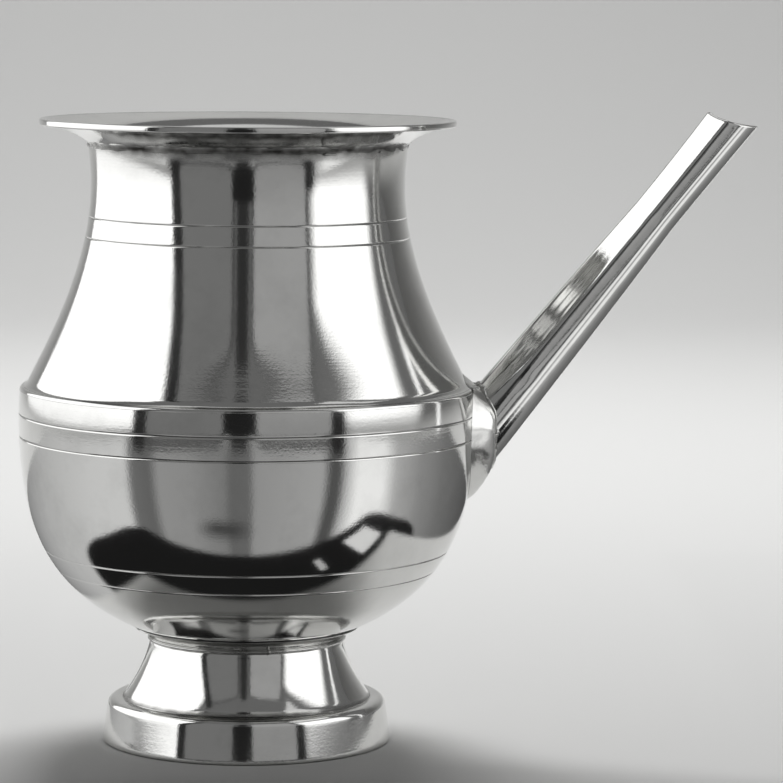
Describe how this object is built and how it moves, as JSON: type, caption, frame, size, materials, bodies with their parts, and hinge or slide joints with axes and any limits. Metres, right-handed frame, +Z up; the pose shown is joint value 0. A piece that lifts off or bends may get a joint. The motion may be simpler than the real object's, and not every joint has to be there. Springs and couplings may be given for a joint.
{
  "type": "kindi",
  "caption": "Spouted pouring vessel with an everted rim, waisted neck, round bowl, straight rising spout and flaring foot, in polished white metal.",
  "frame": {"origin": "middle of the overall length and width, on the plane that the base band stands on", "axes": "+X towards the spout's mouth, +Z up, the vessel's own axis upright at 33.4 mm on the -X side"},
  "size_m": [0.1752, 0.1084, 0.1505],
  "materials": {
    "polished_metal": "polished",
    "solder": "gloss"
  },
  "bodies": {
    "root": {"foot_base_band": "polished_metal", "foot_cone": "polished_metal", "waist_solder": "solder", "foot_collar": "polished_metal", "bowl_shell": "polished_metal", "neck_shell": "polished_metal", "rim_flange": "polished_metal", "rim_solder": "solder", "spout_saddle": "polished_metal", "spout_tube": "polished_metal", "spout_solder": "solder"}
  },
  "joints": []
}
